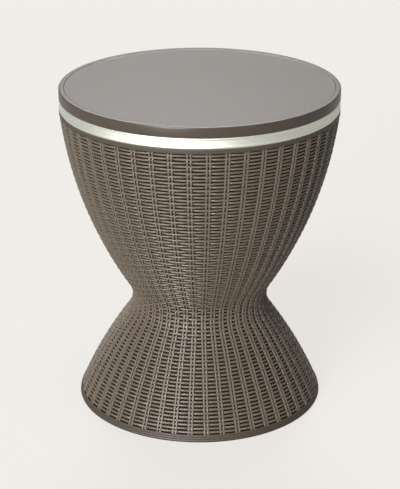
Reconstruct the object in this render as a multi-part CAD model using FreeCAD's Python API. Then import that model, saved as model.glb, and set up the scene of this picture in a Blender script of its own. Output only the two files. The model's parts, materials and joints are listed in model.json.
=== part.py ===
import FreeCAD, Part
import math
import os
from FreeCAD import Vector

os.makedirs("parts", exist_ok=True)

# Round side table with a cooler inside: a woven-look bowl on a flared woven-look base, a flat lid
# on a telescopic pole, and a tub with a drain. The origin is on the floor under the middle of the
# table, +Z is up, and the sizes are millimetres.

# Outline of the table
HEIGHT = 580.0
TOP_RADIUS = 243.5
WAIST_HEIGHT = 190.0
WAIST_CORNER = 109.9
WAIST_ROUND = 50.0
BOWL_BULGE = 740.0
BASE_BULGE = 792.0
FOOT_RADIUS = 219.8
SHOULDER_ROUND = 26.5
SHOULDER_HEIGHT = 0.4842

# Heights down from the top
LID_SIDE = 19.6
LID_REVEAL = 0.6
BAND_HEIGHT = 17.2
COLLAR_HEIGHT = 8.6

# Walls and clearances
SHELL_WALL = 3.2
LINER_WALL = 3.0
FOAM_THICKNESS = 14.0
WAIST_FLANGE = 4.0
PLATE_THICKNESS = 4.0
NEST_GAP = 0.3
RUN_GAP = 0.3
THREAD_GAP = 0.05

# Base and bowl details
FOOT_LIP = 10.0
LEDGE_WIDTH = 14.3

# Main relief of the woven look: its upright pairs of cords stand out as ribs all round
RIB_COUNT = 48
RIB_WIDTH = 9.1
RIB_RELIEF = 1.3
RIB_ANGLE = -94.1
FOOT_RIM_HEIGHT = 14.0

# Silver band
BAND_WEB = 4.5
BAND_COVE = 1.9
BAND_STEP = 1.1
TOP_BEAD = 3.2
BOTTOM_BEAD = 4.2
BAND_LIP = 9.5
BAND_LIP_THICKNESS = 2.2
TAB_COUNT = 8
TAB_ANGLE = 5.0
TAB_DROP = 7.0
TAB_THICKNESS = 2.0
TAB_HOOK = 1.2
TAB_HOOK_HEIGHT = 3.5

# Tub
TUB_FLOOR_RISE = 48.0
TUB_FLOOR_ROUND = 14.0
RIM_WIDTH = 13.9
RIM_ROUND = 1.2
BOSS_RADIUS = 30.0
BOSS_FLARE = 5.0
BOSS_FOOT_RADIUS = 46.0
BOSS_FOOT_THICKNESS = 2.0
BOSS_FOOT_ROUND = 6.0
BOSS_BELOW_HUB = 23.4

# Lid
LID_WALL = 3.4
LID_PLATE = 3.0
LID_DISH = 0.9
LID_RIM_WIDTH = 8.5
LID_RIM_SLOPE = 2.5
LID_TOP_ROUND = 3.2
LID_BOTTOM_ROUND = 1.5
PLUG_CLEARANCE = 6.7
PLUG_DROP = 11.0
PLUG_ROUND = 2.0
SEAL_WIDTH = 6.0
SEAL_HEIGHT = 2.5
SEAL_GROOVE = 1.0
SEAL_INSET = 4.0

# Pole, sleeve and their travel
LIFT = 270.0
TWIST = 35.0
POLE_RADIUS = 19.0
POLE_WALL = 2.0
SLEEVE_BORE = 21.5
SLEEVE_WALL = 2.0
SLEEVE_FOOT = 50.0
CAP_THICKNESS = 3.0
CAP_SPIGOT = 8.0
POLE_FOOT_CLEARANCE = 2.0
PRESS_GAP = 0.1
TOP_BUSH_LENGTH = 65.0
TOP_BUSH_FLANGE = 31.0
TOP_BUSH_FLANGE_THICKNESS = 4.0
WIPER_WIDTH = 5.0
WIPER_HEIGHT = 3.5
GLIDE_LENGTH = 30.0
NECK_RADIUS = 10.0
FOOT_PLUG_LENGTH = 40.0
WASHER_RADIUS = 16.0
WASHER_THICKNESS = 2.0
LOCK_PIN_RADIUS = 4.0
LOCK_PIN_RISE = 20.0
PIN_RECESS = 0.4
KEY_WIDTH = 5.0
KEY_LENGTH = 24.0
PIN_ANGLE = -90.0
KEY_ANGLE = 90.0

# Hub between pole and lid
HUB_RADIUS = 42.0
HUB_THICKNESS = 6.0
HUB_SPIGOT = 40.0
HUB_PIN_RADIUS = 2.5
HUB_PIN_DROP = 20.0

# Flange that holds the sleeve at the waist
FLANGE_RADIUS = 52.0
FLANGE_THICKNESS = 4.0
FLANGE_COLLAR = 4.0
FLANGE_COLLAR_HEIGHT = 12.0

# Screws: shank radius, head radius and head height, then where each ring of them sits
SCREW_SHANK = 2.1
SCREW_HEAD = 4.5
SCREW_HEAD_HEIGHT = 3.0
SCREW_HOLE_GAP = 0.3
SOCKET_WIDTH = 3.6
SOCKET_DEPTH = 1.8
BOSS_WALL = 4.0
SCREW_GRIP = 14.0
WAIST_SCREW_COUNT = 6
WAIST_SCREW_INSET = 12.5
SLEEVE_SCREW_COUNT = 4
SLEEVE_SCREW_CIRCLE = 42.0
HUB_SCREW_COUNT = 4
HUB_SCREW_CIRCLE = 31.0
LID_SCREW_COUNT = 8
LID_SCREW_INSET = 14.0

# Drain
DRAIN_CIRCLE = 72.0
DRAIN_ANGLE = -60.0
DRAIN_BORE = 8.5
DRAIN_WALL = 2.5
DRAIN_CLEARANCE = 1.5
DRAIN_FLANGE = 17.0
DRAIN_FLANGE_THICKNESS = 2.5
DRAIN_SPOUT_BELOW = 34.0
DRAIN_GASKET_THICKNESS = 1.5
DRAIN_NUT_WIDTH = 30.0
DRAIN_NUT_HEIGHT = 6.0
PLUG_HEAD_RADIUS = 14.0
PLUG_HEAD_THICKNESS = 3.0
PLUG_STEM_LENGTH = 22.0
PLUG_GRIP_WIDTH = 22.0
PLUG_GRIP_HEIGHT = 15.0
PLUG_GRIP_THICKNESS = 4.0
PLUG_SEAL_RADIUS = 1.3
PLUG_SEAL_DROP = 12.0

# Heights worked out from the sizes above
LID_BOTTOM = HEIGHT - LID_SIDE
BAND_TOP = LID_BOTTOM - LID_REVEAL
BOWL_TOP = BAND_TOP - BAND_HEIGHT
WEAVE_TOP = BOWL_TOP - COLLAR_HEIGHT
RIM_TOP = LID_BOTTOM - SEAL_HEIGHT - RUN_GAP
PLUG_BOTTOM = LID_BOTTOM - PLUG_DROP
HUB_BOTTOM = PLUG_BOTTOM - HUB_THICKNESS
BOSS_TOP = HUB_BOTTOM - BOSS_BELOW_HUB
DECK = HEIGHT - LID_DISH

# Radii worked out from the sizes above
SLEEVE_RADIUS = SLEEVE_BORE + SLEEVE_WALL
POLE_BORE = POLE_RADIUS - POLE_WALL
PILOT = SCREW_SHANK + THREAD_GAP
SCREW_HOLE = SCREW_SHANK + SCREW_HOLE_GAP
SCREW_BOSS = SCREW_SHANK + BOSS_WALL
PIN_REACH = SLEEVE_RADIUS - PIN_RECESS
DRAIN_RADIUS = DRAIN_BORE + DRAIN_WALL
WAIST_BORE = DRAIN_CIRCLE + DRAIN_RADIUS + DRAIN_CLEARANCE
WAIST_SCREW_CIRCLE = WAIST_BORE + WAIST_SCREW_INSET
LEDGE_RADIUS = TOP_RADIUS - SHELL_WALL - LEDGE_WIDTH
FOAM_OUTER_INSET = SHELL_WALL + NEST_GAP
FOAM_INNER_INSET = FOAM_OUTER_INSET + FOAM_THICKNESS
LINER_OUTER_INSET = FOAM_INNER_INSET + NEST_GAP
LINER_INNER_INSET = LINER_OUTER_INSET + LINER_WALL

# Heights along the pole, from its foot up
POLE_SCREW_HEAD = SLEEVE_FOOT + CAP_SPIGOT + POLE_FOOT_CLEARANCE
WASHER_BOTTOM = POLE_SCREW_HEAD + SCREW_HEAD_HEIGHT
WASHER_TOP = WASHER_BOTTOM + WASHER_THICKNESS
GLIDE_BOTTOM = WASHER_TOP + RUN_GAP
GLIDE_TOP = GLIDE_BOTTOM + GLIDE_LENGTH
POLE_BOTTOM = GLIDE_TOP + RUN_GAP
LOCK_PIN_HEIGHT = POLE_BOTTOM + LOCK_PIN_RISE
KEY_BOTTOM = GLIDE_BOTTOM + (GLIDE_LENGTH - KEY_LENGTH) / 2

AXIS = Vector(0, 0, 1)
ORIGIN = Vector(0, 0, 0)
SAME = 0.01


# Outline of bowl and base: two long curves that meet at the waist and are rounded into each other
def curve_centre(lower, upper, radius):
    """Centre, on the axis side, of the circle of this radius through two (radius, height) points."""
    run = upper[0] - lower[0]
    rise = upper[1] - lower[1]
    chord = math.hypot(run, rise)
    reach = math.sqrt(radius ** 2 - chord ** 2 / 4)
    return (
        (lower[0] + upper[0]) / 2 - reach * rise / chord,
        (lower[1] + upper[1]) / 2 + reach * run / chord,
    )


def curve_reach(centre, radius, height):
    """Radius from the table's axis of a curve at a height."""
    return centre[0] + math.sqrt(radius ** 2 - (height - centre[1]) ** 2)


def meetings(first, first_radius, second, second_radius):
    """The two points where two circles meet."""
    gap_r = second[0] - first[0]
    gap_z = second[1] - first[1]
    gap = math.hypot(gap_r, gap_z)
    along = (gap ** 2 + first_radius ** 2 - second_radius ** 2) / (2 * gap)
    aside = math.sqrt(first_radius ** 2 - along ** 2)
    middle_r = first[0] + gap_r * along / gap
    middle_z = first[1] + gap_z * along / gap
    side_r = aside * gap_z / gap
    side_z = aside * gap_r / gap
    return (middle_r + side_r, middle_z - side_z), (middle_r - side_r, middle_z + side_z)


def from_centre(centre, towards, distance):
    """Point at a distance from a centre, in the direction of another point."""
    length = math.hypot(towards[0] - centre[0], towards[1] - centre[1])
    share = distance / length
    return (
        centre[0] + (towards[0] - centre[0]) * share,
        centre[1] + (towards[1] - centre[1]) * share,
    )


CORNER = (WAIST_CORNER, WAIST_HEIGHT)
BOWL_CENTRE = curve_centre(CORNER, (TOP_RADIUS, WEAVE_TOP), BOWL_BULGE)
SHOULDER_CENTRE = (FOOT_RADIUS - SHOULDER_ROUND, SHOULDER_HEIGHT)
# The base's curve goes through the corner and runs smoothly into the shoulder's round
BASE_CENTRE = min(meetings(CORNER, BASE_BULGE, SHOULDER_CENTRE, BASE_BULGE - SHOULDER_ROUND))
WAIST_CENTRE = max(
    meetings(BOWL_CENTRE, BOWL_BULGE + WAIST_ROUND, BASE_CENTRE, BASE_BULGE + WAIST_ROUND)
)
PARTING = WAIST_CENTRE[1]
TUB_FLOOR = PARTING + TUB_FLOOR_RISE
BASE_FLANGE_BOTTOM = PARTING - WAIST_FLANGE
PLATE_BOTTOM = PARTING + WAIST_FLANGE
PLATE_TOP = PLATE_BOTTOM + PLATE_THICKNESS


def bowl_reach(height, inset):
    """Radius of the bowl's long curve at a height, moved in by an inset."""
    return curve_reach(BOWL_CENTRE, BOWL_BULGE - inset, height)


def waist_reach(height, inset):
    """Radius of the rounded waist at a height, moved in by an inset."""
    side = math.sqrt((WAIST_ROUND + inset) ** 2 - (height - PARTING) ** 2)
    return WAIST_CENTRE[0] - side


MOUTH_RADIUS = bowl_reach(WEAVE_TOP, LINER_INNER_INSET)
RIM_OUTER = MOUTH_RADIUS + RIM_WIDTH
PLUG_RADIUS = MOUTH_RADIUS - PLUG_CLEARANCE
SEAL_INNER = MOUTH_RADIUS + SEAL_INSET
UNDERSIDE_RADIUS = TOP_RADIUS - LID_WALL - NEST_GAP
LID_SCREW_CIRCLE = PLUG_RADIUS - LINER_WALL - LID_SCREW_INSET


# Shapes
def spot(point):
    """(radius, height) as a point in the plane y = 0."""
    return Vector(point[0], 0, point[1])


def bend(centre, start, end):
    """An arc for turned: the point half way round from start to end, and the end."""
    middle = ((start[0] + end[0]) / 2, (start[1] + end[1]) / 2)
    radius = math.hypot(start[0] - centre[0], start[1] - centre[1])
    return (from_centre(centre, middle, radius), end)


def turned(*steps):
    """Solid of revolution. A step is a point to draw a line to, or an arc's middle and end."""
    edges = []
    here = steps[0]
    for step in steps[1:] + (steps[0],):
        if isinstance(step[0], tuple):
            middle, end = step
            edges.append(Part.Arc(spot(here), spot(middle), spot(end)).toShape())
        else:
            end = step
            edges.append(Part.LineSegment(spot(here), spot(end)).toShape())
        here = end
    solid = Part.Face(Part.Wire(edges)).revolve(ORIGIN, AXIS, 360)
    if solid.Volume < 0:
        solid.reverse()
    return solid


def ring(inner, outer, bottom, top):
    """Flat ring with square edges."""
    return turned((inner, bottom), (outer, bottom), (outer, top), (inner, top))


def rod(radius, bottom, top, at=ORIGIN):
    """Upright cylinder."""
    return Part.makeCylinder(radius, top - bottom, Vector(at.x, at.y, bottom), AXIS)


def place(circle, angle):
    """Point on a circle about the axis, angle in degrees from +X."""
    turn = math.radians(angle)
    return Vector(circle * math.cos(turn), circle * math.sin(turn), 0)


def places(circle, count, first=0.0):
    """Evenly spaced points on a circle about the axis."""
    return [place(circle, first + 360.0 * i / count) for i in range(count)]


def sector(inner, outer, bottom, top, middle, width):
    """Piece of a ring, width degrees wide, about the angle middle."""
    edges = Part.makePolygon(
        [spot(p) for p in ((inner, bottom), (outer, bottom), (outer, top), (inner, top), (inner, bottom))]
    )
    piece = Part.Face(edges).revolve(ORIGIN, AXIS, width)
    if piece.Volume < 0:
        piece.reverse()
    piece.rotate(ORIGIN, AXIS, middle - width / 2)
    return piece


def round_rings(solid, radius, *rings):
    """Round the circular edges of a turned solid that have these (radius, height) places."""
    chosen = []
    for edge in solid.Edges:
        if not isinstance(edge.Curve, Part.Circle):
            continue
        for ring_radius, height in rings:
            same_radius = abs(edge.Curve.Radius - ring_radius) < SAME
            if same_radius and abs(edge.Curve.Center.z - height) < SAME:
                chosen.append(edge)
    return solid.makeFillet(radius, chosen)


def fuse(first, *others):
    """Join solids and merge their shared faces."""
    return first.fuse(list(others)).removeSplitter()


def cut(solid, *tools):
    """Take solids away."""
    return solid.cut(list(tools))


def hexagon(width, bottom, top, at):
    """Upright hexagonal bar, width across its flats."""
    corner = width / math.sqrt(3)
    points = [at + place(corner, 60.0 * i) for i in range(7)]
    bar = Part.Face(Part.makePolygon(points)).extrude(Vector(0, 0, top - bottom))
    bar.translate(Vector(0, 0, bottom))
    return bar


def screw(at, under_head, length):
    """Pan-head screw driven upwards, its head below under_head."""
    head = rod(SCREW_HEAD, under_head - SCREW_HEAD_HEIGHT, under_head)
    head = round_rings(head, SCREW_HEAD_HEIGHT / 3, (SCREW_HEAD, under_head - SCREW_HEAD_HEIGHT))
    shank = rod(SCREW_SHANK, under_head, under_head + length - SCREW_SHANK)
    tip = Part.makeCone(SCREW_SHANK, SCREW_SHANK / 3, SCREW_SHANK, Vector(0, 0, shank.BoundBox.ZMax), AXIS)
    bottom = under_head - SCREW_HEAD_HEIGHT
    socket = hexagon(SOCKET_WIDTH, bottom, bottom + SOCKET_DEPTH, ORIGIN)
    whole = cut(fuse(head, shank, tip), socket)
    whole.translate(at)
    return whole


def save(name, shape):
    """Write one named piece, or one group of like pieces."""
    shape.exportStep("parts/" + name + ".step")


# Base and bowl
def base_outline(inset, bottom, top):
    """Solid inside the base's outline, moved in by an inset, from bottom to top."""
    shoulder_start = (FOOT_RADIUS - inset, SHOULDER_HEIGHT)
    shoulder_end = from_centre(SHOULDER_CENTRE, from_centre(
        BASE_CENTRE, SHOULDER_CENTRE, BASE_BULGE), SHOULDER_ROUND - inset)
    waist_start = from_centre(BASE_CENTRE, WAIST_CENTRE, BASE_BULGE - inset)
    waist_end = (waist_reach(top, inset), top)
    return turned(
        (0, bottom),
        (FOOT_RADIUS - inset, bottom),
        shoulder_start,
        bend(SHOULDER_CENTRE, shoulder_start, shoulder_end),
        bend(BASE_CENTRE, shoulder_end, waist_start),
        bend(WAIST_CENTRE, waist_start, waist_end),
        (0, top),
    )


def bowl_outline(inset, bottom, top):
    """Solid inside the bowl's outline, moved in by an inset, from bottom to top."""
    waist_start = (waist_reach(bottom, inset), bottom)
    waist_end = from_centre(BOWL_CENTRE, WAIST_CENTRE, BOWL_BULGE - inset)
    brim = (bowl_reach(WEAVE_TOP, inset), WEAVE_TOP)
    return turned(
        (0, bottom),
        waist_start,
        bend(WAIST_CENTRE, waist_start, waist_end),
        bend(BOWL_CENTRE, waist_end, brim),
        (brim[0], top),
        (0, top),
    )


def cup_outline(inset, bottom, top, floor_round):
    """Solid inside the tub's outline, with a rounded floor edge."""
    corner = (bowl_reach(bottom, inset), bottom)
    brim = (bowl_reach(WEAVE_TOP, inset), WEAVE_TOP)
    solid = turned(
        (0, bottom), corner, bend(BOWL_CENTRE, corner, brim), (brim[0], top), (0, top)
    )
    return round_rings(solid, floor_round, corner)


def ribbed(shell, skin, bottom, top):
    """Take a turned shell's skin away between upright ribs.

    One rib is cut out of a wedge of the shell, and the wedge's faces are copied all round and sewn.
    """
    pitch = 360.0 / RIB_COUNT
    reach = skin.BoundBox.XMax
    low = shell.BoundBox.ZMin - SHELL_WALL
    high = shell.BoundBox.ZMax + SHELL_WALL
    wedge = shell.common(sector(0, reach, low, high, RIB_ANGLE, pitch))
    field = skin.common(sector(RIB_WIDTH, reach, bottom, top, RIB_ANGLE, 2 * pitch))
    rib = Part.makeBox(reach, RIB_WIDTH, high - low, Vector(0, -RIB_WIDTH / 2, low))
    rib.rotate(ORIGIN, AXIS, RIB_ANGLE)
    wedge = cut(wedge, cut(field, rib))
    faces = []
    for face in wedge.Faces:
        if not through_axis(face):
            for i in range(RIB_COUNT):
                copied = face.copy()
                copied.rotate(ORIGIN, AXIS, i * pitch)
                faces.append(copied)
    sewn = Part.Compound(faces)
    sewn.sewShape()
    solid = Part.Solid(sewn.Shells[0])
    if solid.Volume < 0:
        solid.reverse()
    return solid.removeSplitter()


def through_axis(face):
    """Whether a face is flat, upright and in a plane with the table's axis."""
    if not isinstance(face.Surface, Part.Plane):
        return False
    way = face.Surface.Axis
    return abs(way.z) < SAME and abs(face.Surface.Position.dot(way)) < SAME


def base_moulding(bottom, top, rib_bottom):
    """The base between two heights, with ribs that start at a height of their own."""
    outer = base_outline(0.0, 0.0, PARTING)
    hollow = base_outline(SHELL_WALL, -SHELL_WALL, BASE_FLANGE_BOTTOM)
    lip = ring(FOOT_RADIUS - FOOT_LIP, FOOT_RADIUS, 0.0, SHELL_WALL)
    shell = cut(fuse(cut(outer, hollow), lip), rod(WAIST_BORE, 0, HEIGHT))
    skin = cut(base_outline(-RIB_RELIEF, 0.0, PARTING), base_outline(RIB_RELIEF, 0.0, PARTING))
    return ribbed(shell.common(rod(TOP_RADIUS, bottom, top)), skin, rib_bottom, top)


def base_shell():
    return base_moulding(0.0, BASE_FLANGE_BOTTOM, FOOT_RIM_HEIGHT)


def base_flange():
    flange = base_moulding(BASE_FLANGE_BOTTOM, PARTING, BASE_FLANGE_BOTTOM)
    return cut(flange, *[rod(SCREW_HOLE, 0, HEIGHT, at) for at in waist_screw_places()])


def bowl_shell():
    outer = bowl_outline(0.0, PARTING, BOWL_TOP)
    hollow = bowl_outline(SHELL_WALL, PLATE_BOTTOM, BOWL_TOP + SHELL_WALL)
    ledge = ring(LEDGE_RADIUS, TOP_RADIUS - SHELL_WALL / 2, BOWL_TOP - SHELL_WALL, BOWL_TOP)
    shell = cut(fuse(cut(outer, hollow), ledge), rod(WAIST_BORE, 0, HEIGHT))
    skin = cut(bowl_outline(-RIB_RELIEF, PARTING, BOWL_TOP), bowl_outline(RIB_RELIEF, PARTING, BOWL_TOP))
    holes = [rod(SCREW_HOLE, 0, PLATE_TOP, at) for at in waist_screw_places()]
    # The slots are cut a little into the wall, which leaves the band's tabs free on both sides
    slot_inner = tab_outer() - TAB_THICKNESS - NEST_GAP
    slot_outer = tab_outer() + 2 * NEST_GAP
    slot_width = TAB_ANGLE + 2 * math.degrees(NEST_GAP / tab_outer())
    for angle in tab_angles():
        holes.append(sector(slot_inner, slot_outer, BOWL_TOP - SHELL_WALL, BOWL_TOP, angle, slot_width))
    return cut(ribbed(shell, skin, PARTING, WEAVE_TOP), *holes)


# Plate at the waist: it closes the bowl, and the sleeve and both shells are screwed to it
def waist_plate():
    disc = rod(waist_reach(PLATE_BOTTOM, SHELL_WALL) - NEST_GAP, PLATE_BOTTOM, PLATE_TOP)
    fasteners = waist_screw_places() + sleeve_screw_places()
    bosses = [rod(SCREW_BOSS, PLATE_BOTTOM, boss_top(), at) for at in fasteners]
    holes = [rod(SLEEVE_RADIUS + NEST_GAP, 0, HEIGHT)]
    holes.append(rod(DRAIN_RADIUS + NEST_GAP, 0, HEIGHT, drain_place()))
    holes += [rod(PILOT, 0, boss_top() - SHELL_WALL, at) for at in fasteners]
    return cut(fuse(disc, *bosses), *holes)


def boss_top():
    """Top of the screw bosses on the waist plate."""
    return PLATE_TOP + SCREW_GRIP + SHELL_WALL


def waist_screw_places():
    return places(WAIST_SCREW_CIRCLE, WAIST_SCREW_COUNT, DRAIN_ANGLE + 180.0 / WAIST_SCREW_COUNT)


def sleeve_screw_places():
    return places(SLEEVE_SCREW_CIRCLE, SLEEVE_SCREW_COUNT, DRAIN_ANGLE + 180.0 / SLEEVE_SCREW_COUNT)


def waist_screws():
    length = boss_top() - SHELL_WALL - BASE_FLANGE_BOTTOM - NEST_GAP
    return Part.Compound([screw(at, BASE_FLANGE_BOTTOM, length) for at in waist_screw_places()])


# Silver band round the mouth of the bowl, snapped into the bowl's ledge
def tab_outer():
    return TOP_RADIUS - SHELL_WALL - NEST_GAP


def tab_angles():
    return [360.0 * i / TAB_COUNT for i in range(TAB_COUNT)]


def rim_band():
    low = BOWL_TOP
    high = BAND_TOP
    face = TOP_RADIUS - BAND_STEP
    web = TOP_RADIUS - BAND_WEB
    lip = TOP_RADIUS - BAND_LIP
    band = turned(
        (web, low),
        (face, low),
        ((TOP_RADIUS, low + BOTTOM_BEAD / 2), (face, low + BOTTOM_BEAD)),
        ((TOP_RADIUS - BAND_COVE, (low + high) / 2), (face, high - TOP_BEAD)),
        ((TOP_RADIUS, high - TOP_BEAD / 2), (face, high)),
        (lip, high),
        (lip, high - BAND_LIP_THICKNESS),
        (web, high - BAND_LIP_THICKNESS),
    )
    tabs = []
    for angle in tab_angles():
        outer = tab_outer()
        inner = outer - TAB_THICKNESS
        bottom = low - TAB_DROP
        tabs.append(sector(inner, outer, bottom, low + TAB_DROP, angle, TAB_ANGLE))
        tabs.append(sector(inner - TAB_HOOK, outer, bottom, bottom + TAB_HOOK_HEIGHT, angle, TAB_ANGLE))
    return fuse(band, *tabs)


# Tub, its foam jacket and its drain
def drain_place():
    return place(DRAIN_CIRCLE, DRAIN_ANGLE)


def tub_moulding():
    """The tub's wall, rim and floor, which two nodes share between them."""
    outer = cup_outline(LINER_OUTER_INSET, TUB_FLOOR - LINER_WALL, RIM_TOP, TUB_FLOOR_ROUND + LINER_WALL)
    inner = cup_outline(LINER_INNER_INSET, TUB_FLOOR, RIM_TOP, TUB_FLOOR_ROUND)
    brim = ring(MOUTH_RADIUS, RIM_OUTER, RIM_TOP - LINER_WALL, RIM_TOP)
    skirt = ring(RIM_OUTER - LINER_WALL, RIM_OUTER, BOWL_TOP, RIM_TOP)
    liner = fuse(cut(outer, inner), brim, skirt)
    liner = round_rings(liner, RIM_ROUND, (RIM_OUTER, RIM_TOP), (MOUTH_RADIUS, RIM_TOP))
    passage = rod(boss_inner(), 0, HEIGHT)
    drain = rod(DRAIN_RADIUS + NEST_GAP, 0, HEIGHT, drain_place())
    return cut(liner, passage, drain)


def below_tub_wall():
    """Everything up to the height where the tub's rounded floor edge meets its wall."""
    return rod(TOP_RADIUS, 0, TUB_FLOOR + TUB_FLOOR_ROUND)


def tub_liner():
    return cut(tub_moulding(), below_tub_wall())


def tub_floor():
    return tub_moulding().common(below_tub_wall())


def boss_inner():
    """Inside radius of the boss at its foot."""
    return BOSS_RADIUS + BOSS_FLARE - LINER_WALL


def tub_boss():
    foot_top = TUB_FLOOR + BOSS_FOOT_THICKNESS
    sleeve_hole = SLEEVE_RADIUS + NEST_GAP
    boss = turned(
        (boss_inner(), TUB_FLOOR),
        (BOSS_FOOT_RADIUS, TUB_FLOOR),
        (BOSS_FOOT_RADIUS, foot_top),
        (BOSS_RADIUS + BOSS_FLARE, foot_top),
        (BOSS_RADIUS, BOSS_TOP),
        (sleeve_hole, BOSS_TOP),
        (sleeve_hole, BOSS_TOP - LINER_WALL),
        (BOSS_RADIUS - LINER_WALL, BOSS_TOP - LINER_WALL),
    )
    boss = round_rings(boss, BOSS_FOOT_ROUND, (BOSS_RADIUS + BOSS_FLARE, foot_top))
    return round_rings(boss, RIM_ROUND, (BOSS_FOOT_RADIUS, foot_top), (BOSS_RADIUS, BOSS_TOP))


def tub_insulation():
    bottom = PLATE_TOP + NEST_GAP
    top = BOWL_TOP - TAB_DROP - NEST_GAP
    jacket = bowl_outline(FOAM_OUTER_INSET, bottom, top)
    hollow = cup_outline(FOAM_INNER_INSET, TUB_FLOOR - LINER_WALL - NEST_GAP, HEIGHT,
                         TUB_FLOOR_ROUND + LINER_WALL + NEST_GAP)
    holes = [hollow, rod(SLEEVE_RADIUS + FLANGE_COLLAR, 0, HEIGHT)]
    holes.append(rod(DRAIN_NUT_WIDTH / math.sqrt(3) + NEST_GAP, 0, HEIGHT, drain_place()))
    for at in waist_screw_places() + sleeve_screw_places():
        holes.append(rod(SCREW_BOSS + NEST_GAP, 0, boss_top() + NEST_GAP, at))
    return cut(jacket, *holes)


def drain_fitting():
    top = TUB_FLOOR + DRAIN_GASKET_THICKNESS + DRAIN_FLANGE_THICKNESS
    bottom = BASE_FLANGE_BOTTOM - DRAIN_SPOUT_BELOW
    flange = rod(DRAIN_FLANGE, TUB_FLOOR + DRAIN_GASKET_THICKNESS, top)
    flange = round_rings(flange, DRAIN_FLANGE_THICKNESS / 3, (DRAIN_FLANGE, top))
    pipe = rod(DRAIN_RADIUS, bottom, top)
    fitting = cut(fuse(flange, pipe), rod(DRAIN_BORE, 0, HEIGHT))
    fitting.translate(drain_place())
    return fitting


def drain_gasket():
    gasket = ring(DRAIN_RADIUS + NEST_GAP, DRAIN_FLANGE, TUB_FLOOR,
                  TUB_FLOOR + DRAIN_GASKET_THICKNESS)
    gasket.translate(drain_place())
    return gasket


def drain_nut():
    top = TUB_FLOOR - LINER_WALL
    nut = hexagon(DRAIN_NUT_WIDTH, top - DRAIN_NUT_HEIGHT, top, ORIGIN)
    nut = cut(nut, rod(DRAIN_RADIUS + THREAD_GAP, 0, HEIGHT))
    nut.translate(drain_place())
    return nut


def plug_head_bottom():
    """Underside of the drain plug's head, just clear of the fitting."""
    return TUB_FLOOR + DRAIN_GASKET_THICKNESS + DRAIN_FLANGE_THICKNESS + RUN_GAP


def seal_ring(gap):
    """Rubber ring on the drain plug's stem, gap thicker all round."""
    reach = DRAIN_BORE - THREAD_GAP - PLUG_SEAL_RADIUS
    height = plug_head_bottom() - PLUG_SEAL_DROP
    return Part.makeTorus(reach, PLUG_SEAL_RADIUS + gap, Vector(0, 0, height), AXIS)


def drain_plug():
    bottom = plug_head_bottom()
    top = bottom + PLUG_HEAD_THICKNESS
    head = rod(PLUG_HEAD_RADIUS, bottom, top)
    head = round_rings(head, PLUG_HEAD_THICKNESS / 3, (PLUG_HEAD_RADIUS, top))
    stem_radius = DRAIN_BORE - RUN_GAP
    stem = rod(stem_radius, bottom - PLUG_STEM_LENGTH, bottom)
    stem = round_rings(stem, stem_radius / 4, (stem_radius, bottom - PLUG_STEM_LENGTH))
    grip = Part.makeBox(PLUG_GRIP_WIDTH, PLUG_GRIP_THICKNESS, PLUG_GRIP_HEIGHT,
                        Vector(-PLUG_GRIP_WIDTH / 2, -PLUG_GRIP_THICKNESS / 2, top))
    grip = grip.makeFillet(PLUG_GRIP_THICKNESS / 3, grip.Edges)
    foot = rod(PLUG_GRIP_THICKNESS, top - PLUG_HEAD_THICKNESS / 2, top + PLUG_GRIP_HEIGHT / 2)
    plug = cut(fuse(head, stem, foot, grip), seal_ring(THREAD_GAP))
    plug.translate(drain_place())
    return plug


def drain_plug_seal():
    seal = seal_ring(0.0)
    seal.translate(drain_place())
    return seal


# Sleeve that guides the pole, with its flange, bush, wiper and cap
def sleeve_slot(angle, half_width, bottom, top):
    """Upright slot through the sleeve's wall with round ends."""
    inner = SLEEVE_BORE / 2
    length = SLEEVE_RADIUS + SLEEVE_WALL - inner
    box = Part.makeBox(length, 2 * half_width, top - bottom, Vector(inner, -half_width, bottom))
    ends = [
        Part.makeCylinder(half_width, length, Vector(inner, 0, height), Vector(1, 0, 0))
        for height in (bottom, top)
    ]
    slot = fuse(box, *ends)
    slot.rotate(ORIGIN, AXIS, angle)
    return slot


def lock_notch(height):
    """Level notch in the sleeve's wall that the lock pin turns into."""
    half = LOCK_PIN_RADIUS + RUN_GAP
    inner = SLEEVE_BORE / 2
    outer = SLEEVE_RADIUS + SLEEVE_WALL
    level = sector(inner, outer, height - half, height + half, PIN_ANGLE + TWIST / 2, TWIST)
    end = Part.makeCylinder(half, outer - inner, Vector(inner, 0, height), Vector(1, 0, 0))
    end.rotate(ORIGIN, AXIS, PIN_ANGLE + TWIST)
    return fuse(level, end)


def pole_sleeve():
    tube = ring(SLEEVE_BORE, SLEEVE_RADIUS, SLEEVE_FOOT, BOSS_TOP)
    pin_slot = sleeve_slot(PIN_ANGLE, LOCK_PIN_RADIUS + RUN_GAP, LOCK_PIN_HEIGHT, LOCK_PIN_HEIGHT + LIFT)
    half_key = KEY_WIDTH / 2 + RUN_GAP
    key_slot = sleeve_slot(KEY_ANGLE, half_key, KEY_BOTTOM + KEY_WIDTH / 2,
                           KEY_BOTTOM + KEY_LENGTH - KEY_WIDTH / 2 + LIFT)
    return cut(tube, pin_slot, key_slot, lock_notch(LOCK_PIN_HEIGHT), lock_notch(LOCK_PIN_HEIGHT + LIFT))


def sleeve_flange():
    top = PLATE_BOTTOM
    plate = ring(SLEEVE_RADIUS, FLANGE_RADIUS, top - FLANGE_THICKNESS, top)
    collar = ring(SLEEVE_RADIUS, SLEEVE_RADIUS + FLANGE_COLLAR, top - FLANGE_COLLAR_HEIGHT, top)
    holes = [rod(SCREW_HOLE, 0, HEIGHT, at) for at in sleeve_screw_places()]
    return cut(fuse(plate, collar), *holes)


def sleeve_screws():
    under_head = PLATE_BOTTOM - FLANGE_THICKNESS
    length = boss_top() - SHELL_WALL - under_head - NEST_GAP
    return Part.Compound([screw(at, under_head, length) for at in sleeve_screw_places()])


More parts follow.
